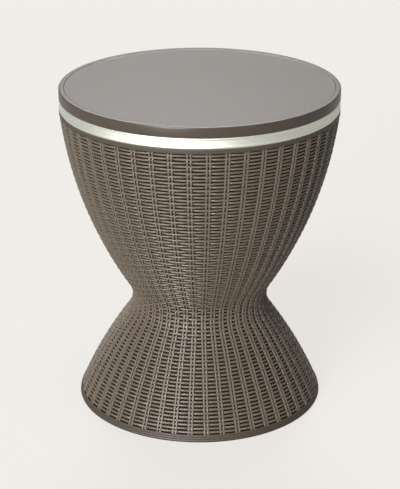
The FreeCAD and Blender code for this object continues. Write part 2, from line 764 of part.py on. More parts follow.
def sleeve_end_cap():
    cap = rod(SLEEVE_RADIUS, SLEEVE_FOOT - CAP_THICKNESS, SLEEVE_FOOT)
    cap = round_rings(cap, CAP_THICKNESS / 3, (SLEEVE_RADIUS, SLEEVE_FOOT - CAP_THICKNESS))
    spigot = rod(SLEEVE_BORE - PRESS_GAP, SLEEVE_FOOT, SLEEVE_FOOT + CAP_SPIGOT)
    return fuse(cap, spigot)


def top_bush():
    flange_top = BOSS_TOP + TOP_BUSH_FLANGE_THICKNESS
    tube = rod(SLEEVE_BORE - PRESS_GAP, BOSS_TOP - TOP_BUSH_LENGTH, flange_top)
    flange = rod(TOP_BUSH_FLANGE, BOSS_TOP, flange_top)
    flange = round_rings(flange, TOP_BUSH_FLANGE_THICKNESS / 3, (TOP_BUSH_FLANGE, flange_top))
    return cut(fuse(tube, flange), rod(POLE_RADIUS + RUN_GAP, 0, HEIGHT))


def pole_wiper():
    inner = POLE_RADIUS + RUN_GAP
    bottom = BOSS_TOP + TOP_BUSH_FLANGE_THICKNESS
    return turned(
        (inner, bottom),
        (inner + WIPER_WIDTH, bottom),
        (inner + WIPER_WIDTH / 3, bottom + WIPER_HEIGHT),
        (inner, bottom + WIPER_HEIGHT),
    )


# Keyed bush at the pole's foot: it slides with the pole and doesn't turn
def glide_bush():
    bush = ring(NECK_RADIUS + RUN_GAP, SLEEVE_BORE - RUN_GAP, GLIDE_BOTTOM, GLIDE_TOP)
    inner = (NECK_RADIUS + SLEEVE_BORE) / 2
    key = Part.makeBox(PIN_REACH - inner, KEY_WIDTH, KEY_LENGTH, Vector(inner, -KEY_WIDTH / 2, KEY_BOTTOM))
    ends = [e for e in key.Edges if abs(e.tangentAt(e.FirstParameter).x) > 0.9]
    key = key.makeFillet(KEY_WIDTH / 2 - NEST_GAP, ends)
    key.rotate(ORIGIN, AXIS, KEY_ANGLE)
    return fuse(bush, key)


# Pole with its foot, lock pin and hub
def inner_pole():
    tube = ring(POLE_BORE, POLE_RADIUS, POLE_BOTTOM, HUB_BOTTOM)
    return cut(tube, lock_pin_bar(THREAD_GAP), hub_pin_bar(THREAD_GAP))


def lock_pin_bar(gap):
    """Lock pin as a plain bar, gap thicker all round."""
    bar = Part.makeCylinder(LOCK_PIN_RADIUS + gap, POLE_BORE + PIN_REACH,
                            Vector(-POLE_BORE, 0, LOCK_PIN_HEIGHT), Vector(1, 0, 0))
    bar.rotate(ORIGIN, AXIS, PIN_ANGLE)
    return bar


def hub_pin_bar(gap):
    """Pin through the pole and the hub's spigot, flush with the pole."""
    half = POLE_RADIUS - PIN_RECESS
    height = HUB_BOTTOM - HUB_PIN_DROP
    return Part.makeCylinder(HUB_PIN_RADIUS + gap, 2 * half, Vector(-half, 0, height), Vector(1, 0, 0))


def lock_pin():
    bar = lock_pin_bar(0.0)
    tip = [e for e in bar.Edges if isinstance(e.Curve, Part.Circle)]
    return bar.makeFillet(LOCK_PIN_RADIUS / 8, tip)


def hub_pin():
    return hub_pin_bar(0.0)


def pole_foot():
    body = rod(POLE_BORE - PRESS_GAP, POLE_BOTTOM, POLE_BOTTOM + FOOT_PLUG_LENGTH)
    neck = rod(NECK_RADIUS, WASHER_TOP, POLE_BOTTOM)
    bore = rod(PILOT, 0, POLE_BOTTOM)
    return cut(fuse(body, neck), bore, lock_pin_bar(THREAD_GAP))


def foot_washer():
    return ring(SCREW_HOLE, WASHER_RADIUS, WASHER_BOTTOM, WASHER_TOP)


def foot_screw():
    return screw(ORIGIN, WASHER_BOTTOM, POLE_BOTTOM - WASHER_BOTTOM - NEST_GAP)


def pole_hub():
    flange = rod(HUB_RADIUS, HUB_BOTTOM, PLUG_BOTTOM)
    flange = round_rings(flange, HUB_THICKNESS / 3, (HUB_RADIUS, HUB_BOTTOM))
    spigot = rod(POLE_BORE - PRESS_GAP, HUB_BOTTOM - HUB_SPIGOT, HUB_BOTTOM)
    holes = [rod(SCREW_HOLE, 0, HEIGHT, at) for at in hub_screw_places()]
    return cut(fuse(flange, spigot), hub_pin_bar(THREAD_GAP), *holes)


def hub_screw_places():
    return places(HUB_SCREW_CIRCLE, HUB_SCREW_COUNT, 45.0)


def hub_boss_top():
    """Top of the screw bosses over the lid's plug plate."""
    return PLUG_BOTTOM + LID_PLATE + SCREW_GRIP


def hub_screws():
    length = hub_boss_top() - LID_PLATE - HUB_BOTTOM - NEST_GAP
    return Part.Compound([screw(at, HUB_BOTTOM, length) for at in hub_screw_places()])


# Lid
def lid_screw_places():
    return places(LID_SCREW_CIRCLE, LID_SCREW_COUNT, 180.0 / LID_SCREW_COUNT)


def lid_top():
    rim_in = TOP_RADIUS - LID_RIM_WIDTH
    shell = turned(
        (0, DECK - LID_PLATE),
        (TOP_RADIUS - LID_WALL, DECK - LID_PLATE),
        (TOP_RADIUS - LID_WALL, LID_BOTTOM),
        (TOP_RADIUS, LID_BOTTOM),
        (TOP_RADIUS, HEIGHT),
        (rim_in, HEIGHT),
        (rim_in - LID_RIM_SLOPE, DECK),
        (0, DECK),
    )
    shell = round_rings(shell, LID_TOP_ROUND, (TOP_RADIUS, HEIGHT))
    shell = round_rings(shell, LID_BOTTOM_ROUND, (TOP_RADIUS, LID_BOTTOM))
    foot = PLUG_BOTTOM + LID_PLATE
    bosses = [rod(SCREW_BOSS, foot, DECK - LID_PLATE / 2, at) for at in lid_screw_places()]
    pilots = [rod(PILOT, 0, foot + SCREW_GRIP, at) for at in lid_screw_places()]
    return cut(fuse(shell, *bosses), *pilots)


def lid_underside():
    plate_top = PLUG_BOTTOM + LID_PLATE
    shelf_top = LID_BOTTOM + LID_PLATE
    wall_in = PLUG_RADIUS - LINER_WALL
    shell = turned(
        (0, PLUG_BOTTOM),
        (PLUG_RADIUS, PLUG_BOTTOM),
        (PLUG_RADIUS, LID_BOTTOM),
        (UNDERSIDE_RADIUS, LID_BOTTOM),
        (UNDERSIDE_RADIUS, shelf_top),
        (wall_in, shelf_top),
        (wall_in, plate_top),
        (0, plate_top),
    )
    shell = round_rings(shell, PLUG_ROUND, (PLUG_RADIUS, PLUG_BOTTOM))
    bosses = [rod(SCREW_BOSS, PLUG_BOTTOM, hub_boss_top(), at) for at in hub_screw_places()]
    holes = [rod(PILOT, 0, hub_boss_top() - LID_PLATE, at) for at in hub_screw_places()]
    holes += [rod(SCREW_HOLE, 0, HEIGHT, at) for at in lid_screw_places()]
    holes.append(ring(SEAL_INNER, SEAL_INNER + SEAL_WIDTH, 0, LID_BOTTOM + SEAL_GROOVE))
    return cut(fuse(shell, *bosses), *holes)


def lid_foam():
    low = PLUG_BOTTOM + LID_PLATE + NEST_GAP
    step = LID_BOTTOM + LID_PLATE + NEST_GAP
    high = DECK - LID_PLATE - NEST_GAP
    plug = PLUG_RADIUS - LINER_WALL - NEST_GAP
    wide = UNDERSIDE_RADIUS - NEST_GAP
    foam = turned((0, low), (plug, low), (plug, step), (wide, step), (wide, high), (0, high))
    holes = [rod(SCREW_BOSS + NEST_GAP, 0, HEIGHT, at) for at in lid_screw_places()]
    holes += [rod(SCREW_BOSS + NEST_GAP, 0, hub_boss_top() + NEST_GAP, at) for at in hub_screw_places()]
    return cut(foam, *holes)


def lid_seal():
    bottom = LID_BOTTOM - SEAL_HEIGHT
    outer = SEAL_INNER + SEAL_WIDTH
    middle = (SEAL_INNER + outer) / 2
    half = LID_BOTTOM - SEAL_HEIGHT / 2
    return turned(
        (SEAL_INNER, LID_BOTTOM + SEAL_GROOVE),
        (SEAL_INNER, half),
        ((middle, bottom), (outer, half)),
        (outer, LID_BOTTOM + SEAL_GROOVE),
    )


def lid_screws():
    length = LID_PLATE + SCREW_GRIP - NEST_GAP
    return Part.Compound([screw(at, PLUG_BOTTOM, length) for at in lid_screw_places()])


PIECES = {
    "base_shell": base_shell,
    "base_flange": base_flange,
    "bowl_shell": bowl_shell,
    "waist_plate": waist_plate,
    "waist_screws": waist_screws,
    "rim_band": rim_band,
    "tub_liner": tub_liner,
    "tub_floor": tub_floor,
    "tub_boss": tub_boss,
    "tub_insulation": tub_insulation,
    "drain_fitting": drain_fitting,
    "drain_gasket": drain_gasket,
    "drain_nut": drain_nut,
    "drain_plug": drain_plug,
    "drain_plug_seal": drain_plug_seal,
    "pole_sleeve": pole_sleeve,
    "sleeve_flange": sleeve_flange,
    "sleeve_screws": sleeve_screws,
    "sleeve_end_cap": sleeve_end_cap,
    "top_bush": top_bush,
    "pole_wiper": pole_wiper,
    "glide_bush": glide_bush,
    "inner_pole": inner_pole,
    "pole_foot": pole_foot,
    "foot_washer": foot_washer,
    "foot_screw": foot_screw,
    "lock_pin": lock_pin,
    "pole_hub": pole_hub,
    "hub_pin": hub_pin,
    "hub_screws": hub_screws,
    "lid_top": lid_top,
    "lid_underside": lid_underside,
    "lid_foam": lid_foam,
    "lid_seal": lid_seal,
    "lid_screws": lid_screws,
}

for piece_name, make_piece in PIECES.items():
    save(piece_name, make_piece())
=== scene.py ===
import json
import math

import bmesh
import bpy
import numpy as np
from bpy.props import FloatProperty, FloatVectorProperty, IntProperty, PointerProperty
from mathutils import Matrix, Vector


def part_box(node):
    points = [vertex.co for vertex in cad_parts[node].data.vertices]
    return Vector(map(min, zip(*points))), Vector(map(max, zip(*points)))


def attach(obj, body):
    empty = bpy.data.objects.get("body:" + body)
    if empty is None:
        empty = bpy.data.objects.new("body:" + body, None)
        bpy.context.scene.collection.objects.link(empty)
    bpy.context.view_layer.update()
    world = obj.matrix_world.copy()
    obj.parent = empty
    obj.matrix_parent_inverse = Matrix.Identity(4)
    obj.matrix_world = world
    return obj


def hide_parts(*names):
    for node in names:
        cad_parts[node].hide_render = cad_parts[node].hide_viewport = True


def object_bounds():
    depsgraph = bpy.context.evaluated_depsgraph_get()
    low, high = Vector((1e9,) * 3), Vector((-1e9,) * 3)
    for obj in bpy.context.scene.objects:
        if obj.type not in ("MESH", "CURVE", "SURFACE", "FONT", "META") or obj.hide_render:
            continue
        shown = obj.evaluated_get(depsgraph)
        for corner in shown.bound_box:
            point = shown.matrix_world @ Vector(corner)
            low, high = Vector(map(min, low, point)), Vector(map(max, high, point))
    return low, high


# Looks of a cooler table: a moulded rattan bowl on a flared base, a silver band, and a flat lid that
# rises on its pole. Sizes are metres, in the same frame as the construction, which is loaded first.

bl_info = {
    "name": "Cooler Table",
    "version": (1, 0, 0),
    "blender": (4, 5, 0),
    "location": "View3D > Sidebar > Cooler Table",
    "description": "Dresses a cooler table with its woven shells, silver band, lid and finishes",
    "category": "Object",
}

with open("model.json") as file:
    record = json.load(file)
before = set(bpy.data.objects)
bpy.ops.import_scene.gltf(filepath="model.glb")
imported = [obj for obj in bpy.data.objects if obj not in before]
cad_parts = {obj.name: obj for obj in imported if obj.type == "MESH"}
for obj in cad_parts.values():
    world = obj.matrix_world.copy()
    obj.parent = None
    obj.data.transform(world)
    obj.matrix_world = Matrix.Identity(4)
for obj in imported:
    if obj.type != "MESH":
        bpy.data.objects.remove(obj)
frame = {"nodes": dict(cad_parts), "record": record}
CAD_LOW, CAD_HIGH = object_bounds()
MM = 0.001
# Angle about the axis that faces the viewer
FRONT = -math.pi / 2

BODY = "table_body"
TABLETOP = "tabletop"

# Heights and radii that the frame gives
HEIGHT = CAD_HIGH.z
TOP_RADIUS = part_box("lid_top")[1].x
BAND_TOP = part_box("rim_band")[1].z
BOWL_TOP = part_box("bowl_shell")[1].z
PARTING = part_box("bowl_shell")[0].z

# Outline of the shells
FOOT_RADIUS = 219.8 * MM
FOOT_FLARE = 2.5 * MM
SHOULDER_ROUND = 26.5 * MM
WAIST_HEIGHT = 190.0 * MM
WAIST_CORNER = 109.9 * MM
WAIST_ROUND = 50.0 * MM
BOWL_BULGE = 740.0 * MM
BASE_BULGE = 792.0 * MM
COLLAR_HEIGHT = 8.6 * MM
WEAVE_TOP = BOWL_TOP - COLLAR_HEIGHT
WAIST_FLANGE = 4.0 * MM
WAIST_BORE = 84.5 * MM
SHELL_WALL = 3.2 * MM
FOOT_LIP = 10.0 * MM
LEDGE_WIDTH = 17.5 * MM
OUTLINE_STEP = 0.5 * MM
WALL_STEP = 3.0 * MM
JOIN_DISTANCE = 0.005 * MM

# The band is this much taller than the solid one, and the lid's skirt that much shorter
BAND_RAISE = 1.6 * MM
LID_REVEAL = 0.6 * MM
LID_BOTTOM = BAND_TOP + BAND_RAISE + LID_REVEAL


# Colours
def linear(code):
    """An sRGB hex colour as linear red, green and blue."""
    parts = [int(code[i:i + 2], 16) / 255 for i in (0, 2, 4)]
    return tuple(c / 12.92 if c <= 0.04045 else ((c + 0.055) / 1.055) ** 2.4 for c in parts)


class CoolerTableSizes(bpy.types.PropertyGroup):
    """Sizes of the weave and the lid that a user may change."""

    pairs: IntProperty(name="Stake pairs", description="Pairs of upright cords round the table",
                       default=48, min=12)
    base_rows: IntProperty(name="Base rows", default=31, min=4,
                           description="Woven rows between the foot rim and the waist")
    bowl_rows: IntProperty(name="Bowl rows", default=57, min=4,
                           description="Woven rows between the waist and the collar")
    relief: FloatProperty(name="Relief", description="Depth of the weave's grooves",
                          default=3.3 * MM, unit="LENGTH")
    foot_rim: FloatProperty(name="Foot rim", default=14.0 * MM, unit="LENGTH",
                            description="Smooth rim under the lowest groove, along the wall")
    collar: FloatProperty(name="Collar", default=7.8 * MM, unit="LENGTH",
                          description="Height of the smooth ring over the highest groove")
    end_groove: FloatProperty(name="End groove", default=1.1 * MM, unit="LENGTH",
                              description="Half the width of the lowest and highest groove")
    base_strand: FloatProperty(name="Base strand", description="Width of a level strand of the base",
                               default=4.05 * MM, unit="LENGTH")
    bowl_strand: FloatProperty(name="Bowl strand", description="Width of a level strand of the bowl",
                               default=3.45 * MM, unit="LENGTH")
    stake_width: FloatProperty(name="Stake width", description="Width of one upright cord",
                               default=3.4 * MM, unit="LENGTH")
    stake_gap: FloatProperty(name="Stake spacing", default=5.7 * MM, unit="LENGTH",
                             description="Centre to centre in a pair of upright cords")
    first_pair: FloatProperty(name="First pair", description="Angle of a pair of stakes from the front",
                              default=math.radians(-4.1), unit="ROTATION")
    base_turn: FloatProperty(name="Base turn", default=math.radians(-0.3), unit="ROTATION",
                             description="How far the base's pairs are turned from the bowl's")
    lid_rim: FloatProperty(name="Lid rim", description="Width of the raised rim of the lid",
                           default=8.5 * MM, unit="LENGTH")
    lid_dish: FloatProperty(name="Lid dish", description="How far the deck lies below the rim",
                            default=0.9 * MM, unit="LENGTH")


def colour(name, description, code):
    """A colour setting whose default is an sRGB hex value."""
    return FloatVectorProperty(name=name, description=description, subtype="COLOR", size=3, min=0,
                               max=1, default=linear(code))


class CoolerTableColours(bpy.types.PropertyGroup):
    """Colours that a user may change."""

    cord: colour("Cord", "Level cords of the weave", "61574C")
    # Painted highlight: the upright cords are the same resin as the level ones, and this lighter tint
    # stands for the light that they catch where they stand proud.
    stake_painted_highlight: colour("Stake", "Upright cords of the weave, which rubbing has made paler", "675D51")
    # Painted shade: the groove floor is the same resin as the cords, darkened to stand for the little
    # light that reaches the bottom of the grooves.
    recess_painted_shade: colour("Recess", "Bottom of the weave's grooves", "1C150F")
    rim: colour("Smooth rims", "Collar under the band and rim at the foot", "423A31")
    lid: colour("Lid", "Lid and its underside", "423A32")
    band: colour("Band", "Silver band round the mouth", "ECEDE2")
    tub: colour("Tub", "Food tub and its boss", "D9D4C8")
    floor: colour("Floor", "Floor and background", "F6F3EE")


# Outline of the two shells, from the floor up
def circle_through(lower, upper, radius):
    """Centre, on the axis side, of the circle of this radius through two (radius, height) points."""
    run, rise = upper[0] - lower[0], upper[1] - lower[1]
    chord = math.hypot(run, rise)
    reach = math.sqrt(radius ** 2 - chord ** 2 / 4)
    return np.array([(lower[0] + upper[0]) / 2 - reach * rise / chord,
                     (lower[1] + upper[1]) / 2 + reach * run / chord])


def outer_meeting(first, first_radius, second, second_radius):
    """The outer of the two points where two circles meet."""
    gap = second - first
    length = math.hypot(*gap)
    along = (length ** 2 + first_radius ** 2 - second_radius ** 2) / (2 * length)
    aside = math.sqrt(first_radius ** 2 - along ** 2) * np.array([gap[1], -gap[0]]) / length
    middle = first + gap * along / length
    return max(middle + aside, middle - aside, key=lambda p: p[0])


def arc(centre, start, end, step=OUTLINE_STEP):
    """Points on the short arc about a centre from start to end, both included."""
    first = math.atan2(start[1] - centre[1], start[0] - centre[0])
    turn = math.atan2(end[1] - centre[1], end[0] - centre[0]) - first
    turn = (turn + math.pi) % (2 * math.pi) - math.pi
    radius = math.hypot(start[0] - centre[0], start[1] - centre[1])
    steps = max(1, math.ceil(abs(turn) * radius / step))
    angles = first + np.linspace(0, turn, steps + 1)
    return np.stack([centre[0] + radius * np.cos(angles), centre[1] + radius * np.sin(angles)], axis=1)


def towards(centre, point, distance):
    """Point at a distance from a centre, in the direction of another point."""
    way = np.array(point) - np.array(centre)
    return np.array(centre) + way * distance / math.hypot(*way)


class Outline:
    """The wall's outer line, as places along it counted from the floor."""

    def __init__(self):
        corner = np.array([WAIST_CORNER, WAIST_HEIGHT])
        bowl = circle_through(corner, (TOP_RADIUS, WEAVE_TOP), BOWL_BULGE)
        base = circle_through((FOOT_RADIUS + FOOT_FLARE, 0.0), corner, BASE_BULGE)
        waist = outer_meeting(bowl, BOWL_BULGE + WAIST_ROUND, base, BASE_BULGE + WAIST_ROUND)
        shoulder_radius = FOOT_RADIUS - SHOULDER_ROUND
        rise = math.sqrt((BASE_BULGE - SHOULDER_ROUND) ** 2 - (shoulder_radius - base[0]) ** 2)
        shoulder = np.array([shoulder_radius, base[1] + rise])
        shoulder_end = towards(base, shoulder, BASE_BULGE)
        base_end = towards(base, waist, BASE_BULGE)
        bowl_start = towards(bowl, waist, BOWL_BULGE)
        runs = [
            np.array([[FOOT_RADIUS, 0.0]]),
            arc(shoulder, (FOOT_RADIUS, shoulder[1]), shoulder_end),
            arc(base, shoulder_end, base_end)[1:],
            arc(waist, base_end, bowl_start)[1:],
            arc(bowl, bowl_start, (TOP_RADIUS, WEAVE_TOP))[1:],
            np.array([[TOP_RADIUS, BOWL_TOP]]),
        ]
        self.points = np.concatenate(runs)
        lengths = np.hypot(*np.diff(self.points, axis=0).T)
        self.places = np.concatenate([[0.0], np.cumsum(lengths)])
        slope = np.gradient(self.points, self.places, axis=0)
        self.outward = np.stack([slope[:, 1], -slope[:, 0]], axis=1)
        self.outward /= np.hypot(*self.outward.T)[:, None]

    def place_of(self, height):
        """Place along the line at a height."""
        return float(np.interp(height, self.points[:, 1], self.places))

    def at(self, place, depth):
        """Radius and height of the line at places, moved in by a depth."""
        line = [np.interp(place, self.places, self.points[:, i]) for i in (0, 1)]
        out = [np.interp(place, self.places, self.outward[:, i]) for i in (0, 1)]
        return line[0] - out[0] * depth, line[1] - out[1] * depth

    def stretch(self, start, end, depth):
        """Points of the line between two places, moved in by a depth."""
        steps = max(1, math.ceil(abs(end - start) / WALL_STEP))
        radius, height = self.at(np.linspace(start, end, steps + 1), depth)
        return np.stack([radius, height], axis=1)


OUTLINE = Outline()
PARTING_PLACE = OUTLINE.place_of(PARTING)
WEAVE_TOP_PLACE = OUTLINE.place_of(WEAVE_TOP)


# Meshes
SHARP_ANGLE = math.radians(35)
BAND_SHARP_ANGLE = math.radians(60)
STEPS_PER_RADIUS = 4


def swept(name, points, closed):
    """Mesh of one or more swept sections.

    points holds, for each sweep, the stations along it and the points round each section. The map
    "along" gives each corner its distance along and round the sweep, in metres.
    """
    sweeps, stations, around = points.shape[:3]
    steps = stations if closed else stations - 1
    counts = np.arange(sweeps), np.arange(steps), np.arange(around)
    sweep, station, turn = np.meshgrid(*counts, indexing="ij")
    corners = [(station, turn), (station + 1, turn), (station + 1, turn + 1), (station, turn + 1)]
    index = [(sweep * stations + s % stations) * around + t % around for s, t in corners]
    faces = np.stack(index, axis=-1).reshape(-1, 4).tolist()
    if not closed:
        for first in range(0, sweeps * stations * around, stations * around):
            last = first + (stations - 1) * around
            faces.append(list(range(first, first + around)))
            faces.append(list(range(last + around - 1, last - 1, -1)))
    mesh = bpy.data.meshes.new(name)
    mesh.from_pydata(points.reshape(-1, 3).tolist(), [], faces)
    along = np.linalg.norm(np.roll(points, -1, axis=1) - points, axis=3)[:, :, 0]
    across = np.linalg.norm(np.roll(points, -1, axis=2) - points, axis=3)[:, 0]
    along, across = (np.pad(np.cumsum(side, axis=1), ((0, 0), (1, 0))) for side in (along, across))
    pairs = [np.stack([along[sweep, s], across[sweep, t]], axis=-1) for s, t in corners]
    filled = np.stack(pairs, axis=-2).reshape(-1, 2)
    # The ends' own corners come last and stay at zero
    flat = np.zeros((len(mesh.loops), 2), np.float32)
    flat[:len(filled)] = filled
    mesh.uv_layers.new(name="along").data.foreach_set("uv", flat.ravel())
    return mesh


def piece(mesh, body, material, sharp=SHARP_ANGLE):
    """Object for a mesh, shaded smooth except at sharp edges, riding on a body."""
    mesh.validate()
    mesh.polygons.foreach_set("use_smooth", [True] * len(mesh.polygons))
    mesh.set_sharp_from_angle(angle=sharp)
    mesh.materials.append(material)
    made = bpy.data.objects.new(mesh.name, mesh)
    bpy.context.scene.collection.objects.link(made)
    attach(made, body)
    return made


def turned(name, profile, segments):
    """Mesh of a closed (radius, height) profile turned about the axis."""
    profile = np.asarray(profile)
    angles = np.arange(segments) * 2 * math.pi / segments
    radius, height = profile[None, :, 0], profile[None, :, 1]
    points = np.stack([radius * np.cos(angles)[:, None], radius * np.sin(angles)[:, None],
                       np.broadcast_to(height, (segments, len(profile)))], axis=-1)
    mesh = swept(name, points[None], closed=True)
    if profile[:, 0].min() < JOIN_DISTANCE:
        join_axis(mesh)
    return mesh


def join_axis(mesh):
    """Join the points that lie together on the axis."""
    shape = bmesh.new()
    shape.from_mesh(mesh)
    bmesh.ops.remove_doubles(shape, verts=shape.verts, dist=JOIN_DISTANCE)
    shape.to_mesh(mesh)
    shape.free()


def rounded(*corners):
    """Closed profile with its corners rounded. A corner is (radius, height, round)."""
    line = []
    for i, (x, z, size) in enumerate(corners):
        here = np.array([x, z])
        if not size:
            line.append([here])
            continue
        before = np.array(corners[i - 1][:2])
        after = np.array(corners[(i + 1) % len(corners)][:2])
        back = (before - here) / math.hypot(*(before - here))
        ahead = (after - here) / math.hypot(*(after - here))
        half = math.acos(np.clip(back @ ahead, -1, 1)) / 2
        reach = size / math.tan(half)
        middle = (back + ahead) / math.hypot(*(back + ahead))
        centre = here + middle * size / math.sin(half)
        step = size / STEPS_PER_RADIUS
        line.append(arc(centre, here + back * reach, here + ahead * reach, step))
    return np.concatenate(line)


# Weave: level strands go over and under upright pairs of stakes, like moulded rattan. A section's points
# are shares of half the cord's width and of its sides' sink, where IN_FLOOR lies in the groove's floor.
IN_FLOOR = 1.0
STRAND_SECTION = ((-1.0, IN_FLOOR), (-0.82, 0.5), (-0.34, 0.05),
                  (0.34, 0.05), (0.82, 0.5), (1.0, IN_FLOOR))
STAKE_SECTION = ((1.0, IN_FLOOR), (0.74, 0.22), (0.0, 0.0), (-0.74, 0.22), (-1.0, IN_FLOOR))
CORD_FOOT = 0.05 * MM
SIDE_SINK = 1.6 * MM
# Depths of a strand's face where it crosses over a pair, at shares of its way to the next, and under it
STRAND_OVER = 0.3 * MM
STRAND_BETWEEN = (0.3 * MM, 0.5 * MM, 1.1 * MM)
BETWEEN_SHARES = (0.1, 0.5, 0.88)
STRAND_UNDER = 3.0 * MM
# How much deeper strands would lie at the axis. They sink in proportion as the wall narrows.
CROWDED_SINK = 1.5 * MM
# Depths of an upright cord's face, every third of a row, from one strand over it up to the next
STAKE_DEPTHS = (1.8 * MM, 0.5 * MM, 0.2 * MM, 0.1 * MM, 0.2 * MM, 0.5 * MM)
THIRDS = 3


def cord_points(angle, place, depth):
    """Points on the wall at angles and places, moved in by depths."""
    radius, height = OUTLINE.at(place, depth)
    return np.stack([radius * np.cos(angle), radius * np.sin(angle), height], axis=-1)


def strand_line(sizes, place, row, first):
    """Angles and depths along one level strand, all round the table, from the first pair's angle."""
    pitch = 2 * math.pi / sizes.pairs
    radius = OUTLINE.at(place, 0.0)[0]
    half = (sizes.stake_gap + sizes.stake_width) / 2 / radius
    crossing = [-half, 0.0, half]
    offsets = crossing + [half + share * (pitch - 2 * half) for share in BETWEEN_SHARES]
    angles, depths = [], []
    for pair in range(sizes.pairs):
        over = (pair + row) % 2 == 0
        angles += [first + pair * pitch + offset for offset in offsets]
        depths += [STRAND_OVER if over else STRAND_UNDER] * len(crossing)
        depths += STRAND_BETWEEN if over else STRAND_BETWEEN[::-1]
    sink = CROWDED_SINK * (1 - radius / TOP_RADIUS)
    return np.array(angles), np.minimum(np.array(depths) + sink, STRAND_UNDER)


def strands(name, sizes, width, places, first_row, first):
    """Level strands at places along the wall."""
    rows = []
    for row, place in enumerate(places):
        angles, top = strand_line(sizes, place, row + first_row, first)
        foot = np.maximum(top, sizes.relief) + CORD_FOOT
        loop = []
        for along, sink in STRAND_SECTION:
            depth = foot if sink == IN_FLOOR else np.minimum(top + sink * SIDE_SINK, foot)
            loop.append(cord_points(angles, place + along * width / 2, depth))
        rows.append(np.stack(loop, axis=1))
    return swept(name, np.stack(rows), closed=True)


def stakes(name, sizes, start, end, places, first_row, first):
    """Upright pairs of cords between two places along the wall."""
    pitch = places[1] - places[0]
    steps = np.arange(-1, THIRDS * (len(places) - 1) + 2)
    inner = places[0] + steps * pitch / THIRDS
    place = np.concatenate([[start], inner, [end]])
    steps = np.concatenate([[steps[0] - 1], steps, [steps[-1] + 1]])
    radius = OUTLINE.at(place, 0.0)[0]
    foot = np.full_like(place, sizes.relief + CORD_FOOT)
    cords = []
    for pair in range(sizes.pairs):
        middle = first + pair * 2 * math.pi / sizes.pairs
        lead = THIRDS * ((pair + first_row) % 2)
        top = np.array(STAKE_DEPTHS)[(steps + lead) % len(STAKE_DEPTHS)]
        for side in (-0.5, 0.5):
            loop = []
            for across, sink in STAKE_SECTION:
                shift = side * sizes.stake_gap + across * sizes.stake_width / 2
                depth = foot if sink == IN_FLOOR else top + sink * SIDE_SINK
                loop.append(cord_points(middle + shift / radius, place, depth))
            cords.append(np.stack(loop, axis=1))
    return swept(name, np.stack(cords), closed=False)


def row_places(start, end, rows):
    """Middles of rows that fill the wall between two places."""
    pitch = (end - start) / rows
    return start + pitch * (np.arange(rows) + 0.5)


# Materials
POLYPROPYLENE_IOR = 1.49


def fresh(name):
    """A new node material, with its tree and its shader."""
    material = bpy.data.materials.new(name)
    material.use_nodes = True
    tree = material.node_tree
    return material, tree, tree.nodes["Principled BSDF"]


def feed(tree, node, inputs):
    """Set or link a node's inputs by name or number."""
    for name, value in inputs.items():
        if isinstance(value, bpy.types.NodeSocket):
            tree.links.new(value, node.inputs[name])
        else:
            node.inputs[name].default_value = value


def add(tree, kind, inputs=None, **settings):
    """Add a shader node, with its own settings and its inputs."""
    made = tree.nodes.new("ShaderNode" + kind)
    for name, value in settings.items():
        setattr(made, name, value)
    feed(tree, made, inputs or {})
    return made


def shade(tint, factor):
    """A linear colour made darker or lighter, as red, green, blue and alpha."""
    return tuple(min(1.0, c * factor) for c in tint) + (1.0,)


def mottled(tree, spot, tint, size, spread):
    """Colour that drifts a little either side of a tint, over blotches of a real size."""
    blotches = add(tree, "TexNoise", {"Vector": spot, "Scale": 1 / size, "Detail": 4.0, "Roughness": 0.6})
    mix = add(tree, "MixRGB", {"Fac": blotches.outputs["Fac"], "Color1": shade(tint, 1 - spread),
                               "Color2": shade(tint, 1 + spread)})
    return mix.outputs["Color"]


def rattan_cord_material(name, tint):
    """Moulded polypropylene rattan: satin cords with fine fibres drawn along them."""
    material, tree, shader = fresh(name)
    spot = add(tree, "TexCoord").outputs["Object"]
    along = add(tree, "UVMap", uv_map="along").outputs["UV"]
    # Fibres are 0.5 mm apart and 12 mm long, drawn as coarse as they need to show
    drawn = add(tree, "Mapping", {"Vector": along, "Scale": (1 / (12 * MM), 1 / (0.5 * MM), 1.0)})
    fibres = add(tree, "TexNoise", {"Vector": drawn.outputs["Vector"], "Scale": 1.0})
    bump = add(tree, "Bump", {"Height": fibres.outputs["Fac"], "Distance": 0.25 * MM, "Strength": 0.7})
    feed(tree, shader, {
        "Base Color": mottled(tree, spot, tint, size=18 * MM, spread=0.16),
        "Roughness": 0.35,
        "IOR": POLYPROPYLENE_IOR,
        "Normal": bump.outputs["Normal"],
    })
    return material


def groove_painted_shade_material(tint):
    """The same resin in the grooves: its colour is darkened as painted shade for the little light that
    reaches there, and a fine grain and high roughness keep it dull.
    """
    material, tree, shader = fresh("rattan_groove_painted_shade")
    spot = add(tree, "TexCoord").outputs["Object"]
    dust = add(tree, "TexNoise", {"Vector": spot, "Scale": 1 / (0.8 * MM), "Detail": 3.0})
    bump = add(tree, "Bump", {"Height": dust.outputs["Fac"], "Distance": 0.1 * MM, "Strength": 0.5})
    feed(tree, shader, {
        "Base Color": mottled(tree, spot, tint, size=9 * MM, spread=0.2),
        "Roughness": 0.9,
        "Specular IOR Level": 0.1,
        "Normal": bump.outputs["Normal"],
    })
    return material


def moulded_material(name, tint, roughness, grain, relief=0.6):
    """Spark-eroded moulded polypropylene: a soft satin sheen broken by a fine even grain."""
    material, tree, shader = fresh(name)
    spot = add(tree, "TexCoord").outputs["Object"]
    # The real grain is about 0.2 mm and is drawn as coarse as it needs to show
    pits = add(tree, "TexNoise", {"Vector": spot, "Scale": 1 / grain, "Detail": 3.0, "Roughness": 0.55})
    bump = add(tree, "Bump", {"Height": pits.outputs["Fac"], "Distance": 0.06 * MM, "Strength": relief})
    feed(tree, shader, {
        "Base Color": mottled(tree, spot, tint, size=60 * MM, spread=0.03),
        "Roughness": roughness,
        "IOR": POLYPROPYLENE_IOR,
        "Normal": bump.outputs["Normal"],
    })
    return material


